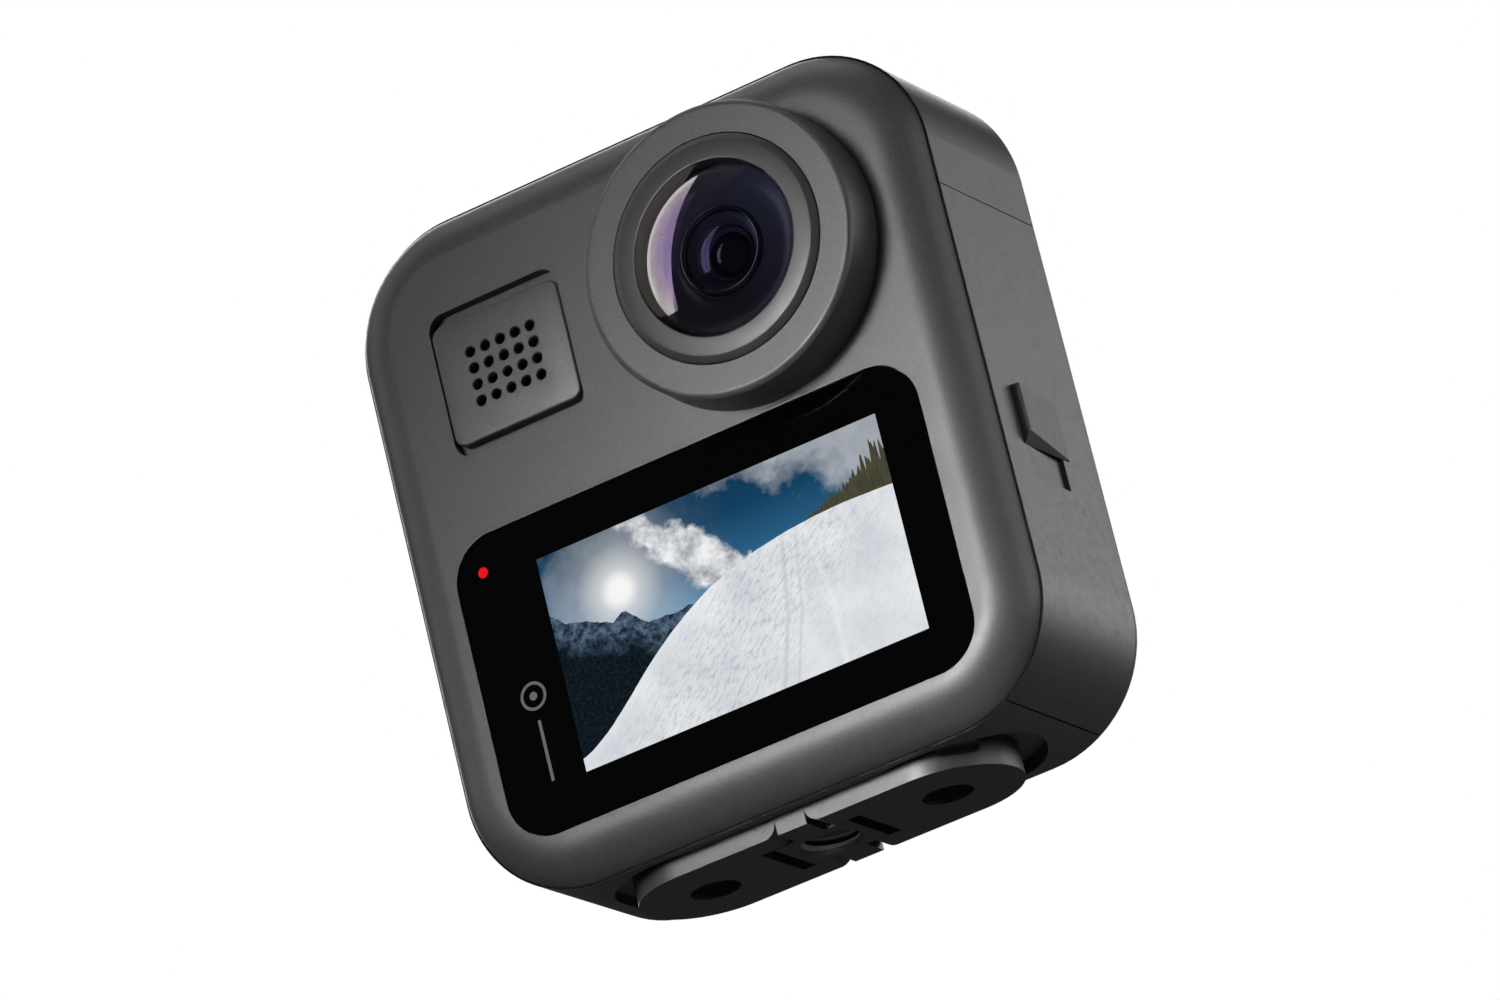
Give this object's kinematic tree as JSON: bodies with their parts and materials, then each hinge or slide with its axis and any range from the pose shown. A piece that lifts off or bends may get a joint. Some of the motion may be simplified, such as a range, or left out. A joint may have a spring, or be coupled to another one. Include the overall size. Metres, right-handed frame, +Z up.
{
  "type": "action camera",
  "caption": "Compact square action camera with opposed domed lenses, a touch screen, a side battery door and a fold-out finger mount around a tripod thread.",
  "frame": {"origin": "axis of the tripod thread in the plane of the folded fingers' underside", "axes": "+Z up; the screen side faces -Y; +X is to the right seen from the screen side"},
  "size_m": [0.0652, 0.0402, 0.0714],
  "materials": {
    "casing": "fine soft-touch grain",
    "mount_metal": "fine matt paint",
    "bezel": "smooth satin",
    "lens_glass": "coated",
    "screen_glass": "polished",
    "black_plastic": "matt",
    "seal_rubber": "matt",
    "circuit_board": "solder mask",
    "steel": "plain",
    "aluminium": "rolled",
    "magnet": "nickel plated",
    "battery_wrap": "printed wrap",
    "contact_brass": "gold plated",
    "ceramic_antenna": "fired",
    "membrane_fabric": "fine mesh",
    "led": "clear red",
    "flex": "polyimide",
    "button_plastic": "satin",
    "sensor_glass": "polished"
  },
  "bodies": {
    "camera_body": {"battery": "battery_wrap", "battery_contacts": "contact_brass", "battery_tray": "black_plastic", "block_screws": "steel", "button_board": "circuit_board", "card_slot": "steel", "case_screws": "steel", "display_bracket": "steel", "display_panel": "black_plastic", "door_hinge_pin": "steel", "door_seal": "seal_rubber", "finger_pins": "steel", "front_image_sensor": "sensor_glass", "front_inner_lens": "lens_glass", "front_lens_barrel": "black_plastic", "front_lens_bezel": "bezel", "front_lens_dome": "lens_glass", "front_lens_seal": "seal_rubber", "front_shell": "casing", "glass_adhesive": "seal_rubber", "gps_antenna": "ceramic_antenna", "grille_membrane": "membrane_fabric", "heat_spreader": "aluminium", "holding_magnets": "magnet", "main_board": "circuit_board", "memory_card": "black_plastic", "memory_chip": "black_plastic", "mid_frame": "casing", "mode_seal": "seal_rubber", "mode_switch": "black_plastic", "processor_chip": "black_plastic", "rear_image_sensor": "sensor_glass", "rear_inner_lens": "lens_glass", "rear_lens_barrel": "black_plastic", "rear_lens_bezel": "bezel", "rear_lens_dome": "lens_glass", "rear_lens_seal": "seal_rubber", "rear_shell": "casing", "sensor_board": "circuit_board", "sensor_cable": "flex", "shutter_seal": "seal_rubber", "shutter_switch": "black_plastic", "speaker_driver": "black_plastic", "speaker_grille": "casing", "status_led": "led", "touch_glass": "screen_glass", "tripod_block": "mount_metal", "usb_port": "steel"},
    "finger_right": {"finger_right": "mount_metal", "finger_keepers_right": "magnet"},
    "finger_left": {"finger_left": "mount_metal", "finger_keepers_left": "magnet"},
    "door": {"door_panel": "casing"},
    "latch": {"latch_button": "casing", "latch_bolt": "steel", "latch_spring": "steel"},
    "shutter": {"shutter_button": "button_plastic"},
    "mode_key": {"mode_button": "button_plastic"}
  },
  "joints": [
    {"name": "finger_right_fold", "type": "hinge", "parent": "camera_body", "child": "finger_right", "pos_m": [0.00315, 0, 0.0015], "axis": [0, 1, 0], "range_deg": [0, 90], "stiffness_Nm_per_rad": 0.0015, "springref_deg": -34.38},
    {"name": "finger_left_fold", "type": "hinge", "parent": "camera_body", "child": "finger_left", "pos_m": [-0.00315, 0, 0.0015], "axis": [0, -1, 0], "range_deg": [0, 90], "stiffness_Nm_per_rad": 0.0015, "springref_deg": -34.38},
    {"name": "door_swing", "type": "hinge", "parent": "camera_body", "child": "door", "pos_m": [0.0258, 0, 0.00461], "axis": [0, 1, 0], "range_deg": [0, 90], "stiffness_Nm_per_rad": 0.0015, "springref_deg": -34.38},
    {"name": "latch_slide", "type": "slide", "parent": "door", "child": "latch", "axis": [0, 0, -1], "range_m": [0, 0.0015], "stiffness_N_per_m": 30, "springref_m": -0.001, "deforming": ["latch_spring"]},
    {"name": "shutter_press", "type": "slide", "parent": "camera_body", "child": "shutter", "axis": [0, 0, -1], "range_m": [0, 0.0005], "stiffness_N_per_m": 20, "springref_m": -0.001},
    {"name": "mode_press", "type": "slide", "parent": "camera_body", "child": "mode_key", "axis": [1, 0, 0], "range_m": [0, 0.0005], "stiffness_N_per_m": 20, "springref_m": -0.001}
  ]
}
